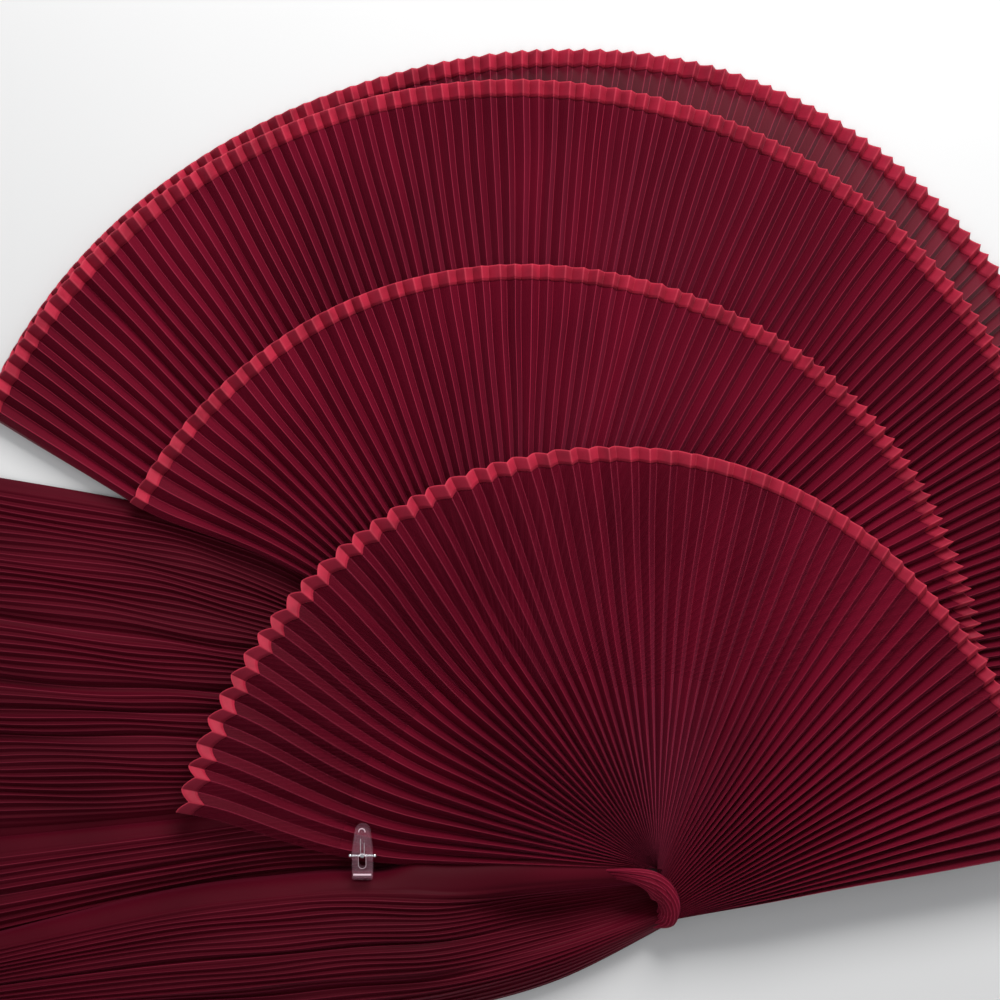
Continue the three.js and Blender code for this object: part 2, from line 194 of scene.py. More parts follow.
def along_curve(points, u):
    """Points of a smooth curve through evenly spaced points, at shares u along it."""
    p = np.asarray(points, float)
    p = np.concatenate([p[:1], p, p[-1:]])
    place = np.clip(np.asarray(u, float), 0, 1) * (len(p) - 3)
    step = np.minimum(place.astype(int), len(p) - 4)
    x = (place - step).reshape(place.shape + (1,) * (p.ndim - 1))
    a, b, c, d = p[step], p[step + 1], p[step + 2], p[step + 3]
    square = (2 * a - 5 * b + 4 * c - d) * x ** 2
    cube = (3 * b - a - 3 * c + d) * x ** 3
    return 0.5 * (2 * b + (c - a) * x + square + cube)


def value_along(values, u):
    """Numbers at shares u along a smooth curve through evenly spaced values."""
    return along_curve(np.asarray(values, float), u)


def turn(vectors, degrees):
    """Plan vectors turned anticlockwise."""
    a = np.radians(degrees)
    x, y = vectors[..., 0], vectors[..., 1]
    return np.stack([x * np.cos(a) - y * np.sin(a), x * np.sin(a) + y * np.cos(a)], -1)


def make_object(name, points, faces, material, attributes=None, flat=False):
    """A mesh object in the scene, from metre points and faces, with float attributes on its points."""
    mesh = bpy.data.meshes.new(name)
    mesh.from_pydata([tuple(p) for p in np.asarray(points, float)], [], [tuple(map(int, f)) for f in faces])
    mesh.polygons.foreach_set("use_smooth", [not flat] * len(mesh.polygons))
    for key, values in (attributes or {}).items():
        layer = mesh.attributes.new(key, "FLOAT", "POINT")
        layer.data.foreach_set("value", np.asarray(values, np.float32).ravel())
    mesh.materials.append(material)
    mesh.update()
    made = bpy.data.objects.new(name, mesh)
    bpy.context.scene.collection.objects.link(made)
    return made


def grid_faces(rows, columns, closed_rows=False):
    """Quads of a grid of points; closed_rows joins the last row to the first."""
    index = np.arange(rows * columns).reshape(rows, columns)
    if closed_rows:
        index = np.vstack([index, index[:1]])
    quads = np.stack([index[:-1, :-1], index[1:, :-1], index[1:, 1:], index[:-1, 1:]], -1)
    return quads.reshape(-1, 4)


def ring_faces(rings, sides):
    """Faces of a closed skin over rings of points, capped at both ends."""
    index = np.arange(rings * sides).reshape(rings, sides)
    index = np.hstack([index, index[:, :1]])
    quads = np.stack([index[:-1, :-1], index[:-1, 1:], index[1:, 1:], index[1:, :-1]], -1).reshape(-1, 4)
    return [*quads, index[0, :-1][::-1], index[-1, :-1]]


def grid_normals(points):
    """Upward unit normals of a grid of points."""
    along = np.gradient(points, axis=0)
    across = np.gradient(points, axis=1)
    normals = np.cross(across, along)
    normals /= np.maximum(np.linalg.norm(normals, axis=-1, keepdims=True), 1e-12)
    return normals * np.where(normals[..., 2:3] < 0, -1.0, 1.0)


def settle(piece, body, replaced=None):
    """Ties a piece to the body that carries it and the node that it stands for."""
    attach(piece, body)
    if replaced:
        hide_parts(replaced)


def pleated_sheet(name, points, crease, pleat, finish):
    """A sheet of organza from its grid of points, with its crease and pleat marks."""
    rows, width = points.shape[:2]
    marks = {"crease": np.broadcast_to(crease, (rows, width)), "pleat": np.broadcast_to(pleat, (rows, width))}
    sheet = make_object(name, points.reshape(-1, 3), grid_faces(rows, width), material(finish), marks)
    return sheet


# ---------------------------------------------------------------- shader helpers

class Value:
    """A float socket that takes part in arithmetic."""

    def __init__(self, shader, socket):
        self.shader = shader
        self.socket = socket

    def maths(self, operation, *others):
        """The result of one Math node on this value and the others."""
        inputs = [self.socket, *[o.socket if isinstance(o, Value) else o for o in others]]
        made = self.shader.node("ShaderNodeMath", {"operation": operation}, dict(enumerate(inputs)))
        return Value(self.shader, made.outputs[0])

    def __add__(self, other):
        return self.maths("ADD", other)

    __radd__ = __add__

    def __sub__(self, other):
        return self.maths("SUBTRACT", other)

    def __rsub__(self, other):
        return self.maths("MULTIPLY", -1.0).maths("ADD", other)

    def __mul__(self, other):
        return self.maths("MULTIPLY", other)

    def __pow__(self, power):
        return self.maths("POWER", power)

    def clamped(self):
        """This value kept between 0 and 1."""
        return self.maths("MAXIMUM", 0.0).maths("MINIMUM", 1.0)

    def smoothstep(self, low, high):
        """0 below low, 1 above high, smooth between."""
        made = self.shader.node(
            "ShaderNodeMapRange", {"interpolation_type": "SMOOTHSTEP"},
            {"Value": self.socket, "From Min": low, "From Max": high, "To Min": 0.0, "To Max": 1.0})
        return Value(self.shader, made.outputs[0])


class Shader:
    """A material being built."""

    def __init__(self, name):
        self.material = bpy.data.materials.new(name)
        self.material.use_nodes = True
        self.tree = self.material.node_tree
        self.tree.nodes.clear()

    def node(self, kind, settings=None, sockets=None):
        """Adds a node: its settings first, then values or links of its sockets."""
        made = self.tree.nodes.new(kind)
        for key, value in (settings or {}).items():
            setattr(made, key, value)
        for key, value in (sockets or {}).items():
            value = value.socket if isinstance(value, Value) else value
            if isinstance(value, bpy.types.NodeSocket):
                self.tree.links.new(value, made.inputs[key])
            else:
                made.inputs[key].default_value = value
        return made

    def attribute(self, name):
        """A float attribute of the mesh."""
        made = self.node("ShaderNodeAttribute", {"attribute_name": name})
        return Value(self, made.outputs["Fac"])

    def place(self):
        """Object coordinates, in metres."""
        return self.node("ShaderNodeTexCoord").outputs["Object"]

    def noise(self, scale, detail=3.0):
        """Noise from 0 to 1, scale in waves per metre."""
        sockets = {"Vector": self.place(), "Scale": scale, "Detail": detail}
        made = self.node("ShaderNodeTexNoise", None, sockets)
        return Value(self, made.outputs["Fac"])

    def wave(self, scale, direction):
        """Sine bands from 0 to 1."""
        sockets = {"Vector": self.place(), "Scale": scale, "Distortion": 0.0, "Detail": 1.0}
        made = self.node("ShaderNodeTexWave", {"bands_direction": direction}, sockets)
        return Value(self, made.outputs["Fac"])

    def mix(self, factor, first, second):
        """Colour between first and second."""
        made = self.node("ShaderNodeMix", {"data_type": "RGBA"}, {0: factor})
        for socket, value in ((6, first), (7, second)):
            if isinstance(value, bpy.types.NodeSocket):
                self.tree.links.new(value, made.inputs[socket])
            else:
                made.inputs[socket].default_value = (*value, 1.0)
        return made.outputs[2]

    def bump(self, height, distance, strength):
        """A bumped normal."""
        sockets = {"Height": height, "Distance": distance, "Strength": strength}
        return self.node("ShaderNodeBump", None, sockets).outputs["Normal"]

    def finish(self, sockets):
        """Principled surface with these sockets; returns the material."""
        surface = self.node("ShaderNodeBsdfPrincipled", None, sockets)
        self.node("ShaderNodeOutputMaterial", None, {"Surface": surface.outputs["BSDF"]})
        return self.material


def tinted(colour_value, factor):
    """A colour made darker or lighter."""
    return tuple(c * factor for c in colour_value)


def organza_material(settings, name, cover, depth):
    """Sheer silky cloth with lighter pressed creases, partly denser threads and partly a painted highlight,
    and a fine weave; depth scales its colour.
    """
    shader = Shader(name)
    cloth = tinted(settings.cloth_colour, depth)
    crease = shader.attribute("crease")
    pleat = shader.attribute("pleat")
    drift = shader.noise(9.0, 2.0)
    weave = shader.wave(900.0, "X") * 0.5 + shader.wave(900.0, "Y") * 0.5
    base = shader.mix(drift.smoothstep(0.3, 0.7), cloth, tinted(cloth, 1.5))
    base = shader.mix((pleat * 0.4).clamped(), base, tinted(cloth, 0.55))
    # Painted highlight along the crease marks, which also stands for the creases' denser threads
    base = shader.mix(((crease ** 4.0) * 0.7).clamped(), base, tinted(settings.crease_highlight_colour, depth))
    return shader.finish({
        "Base Color": base,
        "Roughness": (0.5 + drift * 0.12).clamped(),
        "Alpha": cover,
        "Normal": shader.bump(weave * 0.6 + shader.noise(420.0, 2.0) * 0.4, 0.00012, 0.35),
        "Specular IOR Level": 0.045,
        "Sheen Weight": 0.25 * depth,
        "Sheen Roughness": 0.4,
        "Sheen Tint": (1.0, 0.12, 0.26, 1.0),
    })


def hem_material(settings):
    """Three layers of organza turned over: lighter in colour and nearly opaque, with a sewn line; its rising
    panels carry painted shade and its folded edge and creases a painted highlight.
    """
    shader = Shader("turned_hem")
    crease = shader.attribute("crease")
    across = shader.attribute("across")
    bright = shader.attribute("bright")
    drift = shader.noise(60.0, 3.0)
    blotch = shader.noise(260.0, 2.0)
    base = shader.mix(drift.smoothstep(0.35, 0.7), tuple(settings.hem_colour),
                      tinted(settings.hem_colour, 0.62))
    # Painted shade: where the painted light mark is low, the hem's rising panels take a dark cloth colour
    base = shader.mix(bright.clamped(), tinted(settings.cloth_colour, 1.5), base)
    stitch = (1.0 - (across - 0.12).maths("ABSOLUTE").smoothstep(0.0, 0.05)) * 0.5
    # Painted highlight along the hem's folded outer edge and on its creases
    edge = across.smoothstep(0.93, 1.0)
    base = shader.mix((edge * 0.5 + (crease ** 3.0) * 0.3).clamped(), base, (0.50, 0.035, 0.06))
    return shader.finish({
        "Base Color": base,
        "Roughness": (0.48 + blotch * 0.15).clamped(),
        "Alpha": 0.96,
        "Normal": shader.bump(blotch * 0.7 + stitch + shader.wave(900.0, "Y") * 0.2, 0.00035, 0.5),
        "Specular IOR Level": 0.15,
        "Sheen Weight": 0.3,
        "Sheen Roughness": 0.35,
        "Sheen Tint": (1.0, 0.2, 0.3, 1.0),
    })


def thread_material():
    """Twisted sewing thread."""
    shader = Shader("sewing_thread")
    twist = shader.wave(1400.0, "DIAGONAL")
    base = shader.mix(twist, (0.10, 0.002, 0.012), (0.30, 0.012, 0.035))
    return shader.finish({"Base Color": base, "Roughness": 0.75, "Normal": shader.bump(twist, 0.0001, 0.6)})


def plastic_material(settings):
    """Clear moulded plastic with faint haze and scuffs."""
    shader = Shader("clear_plastic")
    haze = shader.noise(180.0, 4.0)
    scuff = shader.noise(900.0, 2.0).smoothstep(0.62, 0.72)
    base = shader.mix(haze, tuple(settings.plastic_colour), (0.40, 0.19, 0.25))
    return shader.finish({
        "Base Color": base,
        "Roughness": (0.06 + haze * 0.05 + scuff * 0.2).clamped(),
        "Alpha": 0.085,
        "Normal": shader.bump(haze, 0.0001, 0.15),
        "IOR": 1.49,
        "Coat Weight": 0.3,
        "Coat Roughness": 0.04,
    })


def plastic_highlight_material():
    """Painted highlight on the moulded edges of the clear plastic: a light, less clear finish."""
    shader = Shader("clear_plastic_edge")
    haze = shader.noise(220.0, 3.0)
    return shader.finish({
        "Base Color": shader.mix(haze, (0.80, 0.52, 0.60), (0.95, 0.78, 0.84)),
        "Roughness": (0.10 + haze * 0.1).clamped(),
        "Alpha": 0.62,
        "IOR": 1.49,
        "Coat Weight": 0.6,
        "Coat Roughness": 0.04,
    })


def metal_material(settings):
    """Bright drawn wire."""
    shader = Shader("spring_wire")
    streak = shader.noise(700.0, 3.0)
    base = shader.mix(streak, tuple(settings.metal_colour), tinted(settings.metal_colour, 0.7))
    return shader.finish({
        "Base Color": base,
        "Roughness": (0.16 + streak * 0.16).clamped(),
        "Metallic": 1.0,
    })


def floor_material(settings):
    """Plain pale floor with the faintest mottle."""
    shader = Shader("pale_floor")
    mottle = shader.noise(6.0, 2.0)
    base = shader.mix(mottle, tuple(settings.floor_colour), tinted(settings.floor_colour, 0.96))
    return shader.finish({"Base Color": base, "Roughness": 0.7})


MATERIALS = {}
TAIL_COVER = 0.96  # share of the light that the gathered cloth stops
TAIL_DEPTH = 0.52  # its colour against that of a single layer


def material(name):
    """One of the fan's finishes, made when first asked for; organza_78 has a cover of 78 %."""
    scene = bpy.context.scene
    kind, _, percent = name.partition("_")
    makers = {
        "organza": lambda: organza_material(scene.fan_cloth, name, int(percent) / 100, 1.0),
        "tail": lambda: organza_material(scene.fan_cloth, "gathered_organza", TAIL_COVER, TAIL_DEPTH),
        # painted highlight of the clip's moulded edges
        "edge": plastic_highlight_material,
        "hem": lambda: hem_material(scene.fan_cloth),
        "thread": thread_material,
        "plastic": lambda: plastic_material(scene.fan_clip),
        "metal": lambda: metal_material(scene.fan_clip),
        "floor": lambda: floor_material(scene.fan_stage),
    }
    if name not in MATERIALS:
        MATERIALS[name] = makers[kind]()
    return MATERIALS[name]


# ---------------------------------------------------------------- pleated leaves

# Columns of one pleat: share of the rise (0 valley, 1 ridge), on the rising and then on the falling panel.
RISING = (0.0, 0.07, 0.3, 0.6, 0.9)
FALLING = (1.0, 0.88, 0.6, 0.3, 0.08)
TALLEST = 1.06  # the tallest pleat against the mean


class Creases:
    """The columns of a leaf: where each one lies across it and how high it stands."""

    def __init__(self, leaf, seed):
        rng = np.random.default_rng(seed)
        pleats = leaf.sectors * leaf.pleats_per_sector
        valleys = np.arange(pleats + 1) + rng.normal(0.0, 0.05, pleats + 1)
        valleys[0], valleys[-1] = 0.0, pleats
        t, rise, shade, bright = [], [], [], []
        for pleat in range(pleats):
            narrow = NARROW_SHARE[0] + (NARROW_SHARE[1] - NARROW_SHARE[0]) * pleat / pleats
            narrow *= rng.uniform(0.86, 1.14)
            start, end = valleys[pleat], valleys[pleat + 1]
            ridge = end - (end - start) * narrow
            t += [start + (ridge - start) * x for x in RISING]
            t += [end - (end - ridge) * x for x in FALLING]
            rise += RISING + FALLING
            shade += [rng.uniform()] * len(RISING + FALLING)
            # Painted light of the hem: rising panels, turned from the key light, get painted shade; falling
            # panels get full painted light
            dim = np.interp(pleat / pleats, (0.0, 0.45, 1.0), leaf.hem_painted_light)
            bright += [dim] * len(RISING) + [1.0] * len(FALLING)
        self.t = np.array([*t, valleys[-1]]) / pleats
        self.rise = np.array([*rise, 0.0])
        self.shade = np.array([*shade, 0.5])
        self.bright = np.array([*bright, 0.5])
        # Crease marks at the valleys and ridges, which the finish paints lighter: denser threads and a
        # painted highlight
        self.mark = np.where((self.rise == 0.0) | (self.rise == 1.0), 1.0, 0.0)
        unevenness = np.interp(self.t, np.linspace(0, 1, pleats + 1), rng.normal(0, 1, pleats + 1))
        self.height_factor = np.minimum(1.0 + 0.10 * unevenness, TALLEST)
        self.phase = rng.uniform(0, 6.28, 6)
        self.per_sector = leaf.pleats_per_sector * len(RISING + FALLING)



def leaf_points(leaf, cloth, creases, columns, s):
    """Metre points of a leaf, at its columns (across) and at shares s along from the gather to the rim."""
    t = creases.t[columns][None, :]
    rise = creases.rise[columns][None, :]
    s = np.asarray(s, float)[:, None]
    pleats = leaf.sectors * leaf.pleats_per_sector
    spread = t + leaf.taper * t * (1 - t)
    direction = np.radians(leaf.arc[0] + (leaf.arc[1] - leaf.arc[0]) * spread)
    along = smooth(t, 0.45, 1.0)[..., None]
    root = np.array(leaf.roots[0]) * (1 - along) + np.array(leaf.roots[1]) * along
    rim_radius = (leaf.rim_radius + value_along(leaf.rim_drift, t))[..., None]
    rim = np.array(leaf.rim_centre) + rim_radius * np.stack([np.cos(direction), np.sin(direction)], -1)
    crease = rim - root
    reach = np.linalg.norm(crease, axis=-1)
    start = leaf.clearance[0] + (leaf.clearance[1] - leaf.clearance[0]) * smooth(t, 0.5, 1.0)
    from_root = start + (reach - start) * s

    bow = leaf.edge_bow * np.maximum(0.0, 1 - t / leaf.bow_reach) ** 1.5 * (1 - smooth(s, *leaf.bow_fade))
    wobble = 0.10 * np.sin(7 * s + 40 * t + creases.phase[0])
    wobble = wobble + 0.07 * np.sin(15 * s - 90 * t + creases.phase[1])
    bend = bow + wobble * smooth(s, 0.1, 0.4) * (1 - smooth(s, 0.85, 1.0))
    tip = np.interp(t, (0.0, 0.42, 1.0), leaf.valley_tip)
    out = tip * (0.5 - rise ** 1.6) * smooth(s, 0.75, 1.0)
    plan = root + turn(crease / reach[..., None], bend) * (from_root + out)[..., None]

    sweep = math.radians(leaf.arc[0] - leaf.arc[1]) * (1 + leaf.taper * (1 - 2 * t))
    half_pitch = leaf.rim_radius * sweep / pleats * from_root / reach / 2
    full = cloth.slump * np.sqrt(np.maximum(cloth.panel_width ** 2 - half_pitch ** 2, 1.0))
    height = cloth.root_height + (full - cloth.root_height) * smooth(s, 0.0, 0.3)
    height = height * creases.height_factor[columns][None, :]
    belly = 0.05 * np.sin(math.pi * rise) * np.sin(9 * s + 25 * t + creases.phase[2])
    curl = leaf.rim_lift * smooth(s, 0.55, 1.0) * (1 - smooth(t, 0.1, 0.42))
    ripple = 0.25 * np.sin(11 * s + 60 * t + creases.phase[3])
    ripple = ripple * smooth(s, 0.3, 0.8) * (1 - smooth(s, 0.9, 1.0))
    z = level_of(leaf) / MM + 0.3 + height * (rise + belly) + curl + ripple
    return np.concatenate([plan * MM + BACK_PIVOT, (z * MM)[..., None]], -1)


def level_of(leaf):
    """Height of the underside of a leaf, from its frame."""
    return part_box(SECTOR_NODE.format(leaf.name, 1))[0][2]


def fold_with_leaf(piece, leaf, sector):
    """Makes a piece of a sector move and close up with its leaf."""
    body = "root" if sector == 1 else f"{leaf.name}_{sector:02d}"
    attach(piece, body)
    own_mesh(piece)


def hem_band(points, thickness):
    """Rows of a closed band round a grid that ends at the rim, and how far out each row lies."""
    normals = grid_normals(points)
    half = thickness * MM / 2
    outward = points[-1] - points[-2]
    outward /= np.linalg.norm(outward, axis=-1, keepdims=True)
    lip = points[-1] + outward * half * 1.6
    rows = len(points)
    swell = half * (1 + 0.25 * np.sin(np.linspace(0, math.pi, rows)))[:, None, None]
    top = points + normals * swell
    bottom = points - normals * swell
    ring = np.concatenate([top, lip[None], bottom[::-1]])
    share = np.concatenate([np.linspace(0, 1, rows), [1.0], np.linspace(1, 0, rows)])
    return ring, share


def make_sector(leaf, cloth, creases, sector):
    """One sector of a leaf: its sheet of cloth, its turned hem and any lining."""
    first = (sector - 1) * creases.per_sector
    columns = np.arange(first, first + creases.per_sector + 1)
    hem_share = cloth.hem_depth / (leaf.rim_radius * 1.08)
    s = np.concatenate([np.linspace(0.0, 1 - hem_share, cloth.rows), np.linspace(1 - hem_share, 1.0, 4)[1:]])
    points = leaf_points(leaf, cloth, creases, columns, s)
    cover = leaf.cover[0] + (leaf.cover[1] - leaf.cover[0]) * (sector - 1) / (leaf.sectors - 1)
    sheet = pleated_sheet(f"{leaf.name}_cloth_{sector:02d}", points, creases.mark[columns],
                          creases.shade[columns], f"organza_{round(cover * 100)}")
    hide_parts(SECTOR_NODE.format(leaf.name, sector))
    hem = make_hem(leaf, cloth, creases, columns, hem_share, sector)
    if leaf.lining:
        line_sector(leaf, cloth, creases, columns, sector)
    fold_with_leaf(sheet, leaf, sector)
    fold_with_leaf(hem, leaf, sector)


def make_hem(leaf, cloth, creases, columns, hem_share, sector):
    """The turned hem of one sector, a thicker band over the last part of its creases."""
    points = leaf_points(leaf, cloth, creases, columns, np.linspace(1 - hem_share, 1.0, 5))
    ring, share = hem_band(points, cloth.hem_thickness)
    loops, width = ring.shape[:2]
    faces = list(grid_faces(loops, width, closed_rows=True))
    faces.append([row * width for row in range(loops)][::-1])
    faces.append([row * width + width - 1 for row in range(loops)])
    marks = {
        "crease": np.broadcast_to(creases.mark[columns], (loops, width)),
        # painted light of each hem panel, for the hem's painted shade
        "bright": np.broadcast_to(creases.bright[columns], (loops, width)),
        "across": np.broadcast_to(share[:, None], (loops, width)),
    }
    name = f"{leaf.name}_hem_{sector:02d}"
    hem = make_object(name, ring.reshape(-1, 3), faces, material("hem"), marks)
    return hem


def line_sector(leaf, cloth, creases, columns, sector):
    """The second layer of cloth under one sector, pleated with it."""
    end = min(float(value_along(leaf.lining, (sector - 0.5) / leaf.sectors)), LINING_REACH)
    points = leaf_points(leaf, cloth, creases, columns, np.linspace(0.0, end, 24))
    points[..., 2] -= LINING_DROP * MM
    lining = pleated_sheet(f"{leaf.name}_lining_{sector:02d}", points, creases.mark[columns],
                           creases.shade[columns], "organza_98")
    fold_with_leaf(lining, leaf, sector)


class FAN_OT_leaves(bpy.types.Operator):
    """Make the four pleated leaves with their turned hems"""
    bl_idname = "fan.leaves"
    bl_label = "Pleated leaves"

    def execute(self, context):
        for number, leaf in enumerate(LEAVES):
            creases = Creases(leaf, seed=11 + number)
            for sector in range(1, leaf.sectors + 1):
                make_sector(leaf, context.scene.fan_cloth, creases, sector)
        return {"FINISHED"}


# ---------------------------------------------------------------- tails

class Tail(NamedTuple):
    """A gathered tail of pleated cloth between two long edges, in millimetres from the back gather."""
    node: str
    upper: tuple
    lower: tuple
    crown: tuple  # height of the mound along the tail
    pleats: int
    skirt: float  # how far the cloth runs on under the next tail, past its lower edge
    roll: float  # steepness of the rolled upper edge, smaller is steeper
    fold: float  # share of the width that is a smooth fold along the upper edge
    furrows: tuple  # deeper folds: share across from the lower edge, depth, width
    hollow: float = 0.0  # how far the near end sinks into the open profile
    overhang: float = 0.0  # how far the upper fold leans out past the upper edge


TAILS = (
    Tail("back_tail",
         upper=((-16, 10), (-62, 50), (-119, 93), (-167, 116), (-216, 131), (-301, 146)),
         lower=((-17, -4), (-60, -16), (-122, -31), (-186, -41), (-246, -47), (-301, -51)),
         crown=(6, 17, 19, 19, 19, 17), pleats=54, skirt=16.0, roll=0.6, fold=0.02,
         furrows=((0.27, 3.0, 0.012), (0.35, 4.0, 0.016), (0.43, 5.0, 0.018),
                  (0.60, 4.0, 0.02), (0.80, 2.0, 0.03))),
    Tail("middle_tail",
         upper=((48, -68), (0, -52), (-58, -42), (-122, -37), (-200, -46), (-300, -56)),
         lower=((52, -71), (-10, -70.5), (-70, -73), (-134, -78), (-200, -88.5), (-300, -116)),
         crown=(6, 14, 17, 18, 18, 17), pleats=17, skirt=16.0, roll=0.40, fold=0.10,
         furrows=((0.45, 3.0, 0.03),)),
    Tail("front_tail",
         upper=((76, -74), (10, -74), (-40, -75.5), (-92, -72), (-134, -75), (-200, -84), (-300, -109)),
         lower=((81, -103), (20, -134), (-40, -151), (-100, -160), (-150, -166), (-210, -168), (-296, -168)),
         crown=(30, 34, 38, 40, 40, 38, 34), pleats=27, skirt=0.0, roll=0.15, fold=0.08,
         furrows=((0.30, 3.5, 0.03), (0.55, 3.0, 0.02), (0.12, 3.0, 0.03)), hollow=1.0, overhang=9.0),
)
# Section of the open end of the front tail, as shares of its height from the lower edge to the upper edge.
OPEN_SECTION = (0.05, 0.40, 0.58, 0.56, 0.30, 0.12, 0.06, 0.08, 0.26, 0.86, 0.84)
EDGE_HEIGHT = 2.2  # height of a tail's cloth along its long edges
TAIL_LEAN = 0.68  # the rising panel's share of a pleat
COLUMNS_PER_PLEAT = 8
PLEAT_ROOM = 4.5  # room that the pleats have under the crown line
LAYERS = (("cloth", 1.0), ("lining", 0.55))  # layers of a tail and the share of its height that each has


def tail_height(tail, u, v):
    """Height of a tail's body in millimetres, without its pleats, at shares u along and v across."""
    crown = value_along(tail.crown, u) - PLEAT_ROOM
    arch = np.maximum(np.sin(math.pi * np.clip(v, 0, 1)), 0.0)
    mound = np.where(v < 0.5, arch ** 0.6, arch ** tail.roll)
    opened = tail.hollow * (1 - smooth(u, 0.16, 0.40))
    section = mound * (1 - opened) + value_along(OPEN_SECTION, v) * opened
    body = EDGE_HEIGHT + (crown - EDGE_HEIGHT) * section
    for place, depth, width in tail.furrows:
        body = body - depth * (1 - opened) * np.exp(-((v - place) / width) ** 2) * smooth(u, 0.05, 0.3)
    return np.where(v < 0, EDGE_HEIGHT + v * 20, body)


def tail_points(tail, settings, share, seed):
    """Metre points of one layer of a tail, rows along it and columns across it, with the crease mark."""
    rng = np.random.default_rng(seed)
    across = np.linspace(0, 1, tail.pleats * COLUMNS_PER_PLEAT + 1)[None, :]
    phase = (np.arange(across.size) % COLUMNS_PER_PLEAT) / COLUMNS_PER_PLEAT
    rise = np.where(phase < TAIL_LEAN, phase / TAIL_LEAN, (1 - phase) / (1 - TAIL_LEAN))
    u = np.linspace(0, 1, settings.rows)[:, None]
    upper = along_curve(tail.upper, u[:, 0])[:, None, :]
    lower = along_curve(tail.lower, u[:, 0])[:, None, :]
    width = np.linalg.norm(upper - lower, axis=-1)
    start = -tail.skirt / width
    v = start + (1 - start) * across
    inside = smooth(v, 0.0, 0.1) * (1 - smooth(v, 0.9, 1.0))
    drift = 0.006 * np.sin(9 * u + 12 * v + rng.uniform(0, 6))
    drift = drift + 0.003 * np.sin(21 * u - 40 * v + rng.uniform(0, 6))
    plan = lower + (upper - lower) * (v + drift * inside)[..., None]
    lean_window = smooth(u, 0.0, 0.08) * (1 - smooth(u, 0.38, 0.47)) * share
    plan[..., 1] += tail.overhang * lean_window * smooth(v, 0.84, 1.0)
    depth = settings.pleat_height * (0.75 + 0.25 * np.sin(5 * u + 31 * v)) * smooth(u, 0.0, 0.2)
    folds = smooth(v, 0.0, 0.04) * (1 - smooth(v, 1 - 2 * tail.fold, 1 - tail.fold))
    z = np.maximum(tail_height(tail, u, v) * share + depth * rise[None, :] * folds, 0.5)
    points = np.concatenate([plan * MM + BACK_PIVOT, (z * MM)[..., None]], -1)
    # Crease mark on each ridge, which the finish paints lighter: denser threads and a painted highlight
    crease = np.where(np.abs(phase - TAIL_LEAN) < 0.5 / COLUMNS_PER_PLEAT, 1.0, 0.0)
    return points, crease[None, :] * folds


def still_sheet(name, points, crease):
    """A sheet of gathered cloth that lies still, carried by the root."""
    piece = pleated_sheet(name, points, crease, 0.4, "tail")
    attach(piece, "root")
    return piece


class FAN_OT_tails(bpy.types.Operator):
    """Make the three gathered tails, each a pleated cloth over its lining"""
    bl_idname = "fan.tails"
    bl_label = "Gathered tails"

    def execute(self, context):
        for number, tail in enumerate(TAILS):
            for layer, share in LAYERS:
                points, crease = tail_points(tail, context.scene.fan_tails, share, seed=40 + number)
                piece = still_sheet(f"{tail.node}_{layer}", points, crease)
                if layer == "cloth":
                    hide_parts(tail.node)
        return {"FINISHED"}


# ---------------------------------------------------------------- gathers

def tube(path, radii, sides):
    """Points and faces of a closed tube round a path; radii is a number or a grid of path rows by sides."""
    path = np.asarray(path, float)
    tangents = np.gradient(path, axis=0)
    tangents /= np.linalg.norm(tangents, axis=1, keepdims=True)
    normal = np.cross(tangents[0], (0.0, 0.0, 1.0))
    if np.linalg.norm(normal) < 0.1:
        normal = np.array((1.0, 0.0, 0.0))
    normals = []
    for tangent in tangents:
        normal = normal - tangent * (normal @ tangent)
        normal = normal / np.linalg.norm(normal)
        normals.append(normal)
    normals = np.array(normals)
    sideways = np.cross(tangents, normals)
    angle = np.linspace(0, 2 * math.pi, sides, endpoint=False)[None, :, None]
    ring = normals[:, None] * np.cos(angle) + sideways[:, None] * np.sin(angle)
    radii = np.broadcast_to(radii, (len(path), sides))[..., None]
    points = (path[:, None] + ring * radii).reshape(-1, 3)
    return points, ring_faces(len(path), sides)


class Gather(NamedTuple):
    """A stack of crushed pleats that a thread holds."""
    name: str
    radius: float
    stretch: float  # how far the plan is drawn out along its run
    pleats: int
    crown: float  # share of its frame's height that the loose pleats reach under what lies on them


GATHERS = (Gather("back_gather", 8.6, 1.0, 34, 1.0), Gather("front_gather", 4.1, 2.6, 40, 0.8))
WAIST = 1.5  # groove that the thread pulls into a gather, in millimetres
THREAD_TURNS = 3
THREAD_PITCH = 0.5
THREAD_RADIUS = 0.26


def gather_frame(gather):
    """Middle, run direction and height of a gather, in metres, from its frame."""
    low, high = (np.array(corner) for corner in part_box(gather.name))
    run = np.array((0.0, 1.0))
    if gather.stretch > 1:
        front = LEAVES[-1]
        run = np.subtract(front.roots[1], front.roots[0])
        run = run / np.linalg.norm(run)
    return (low + high)[:2] / 2, run, high[2]


def on_plan(middle, run, stretch, along, across):
    """Plan points from lengths along the drawn-out direction and across it."""
    side = np.array((-run[1], run[0]))
    return middle + run * stretch * along[..., None] + side * across[..., None]


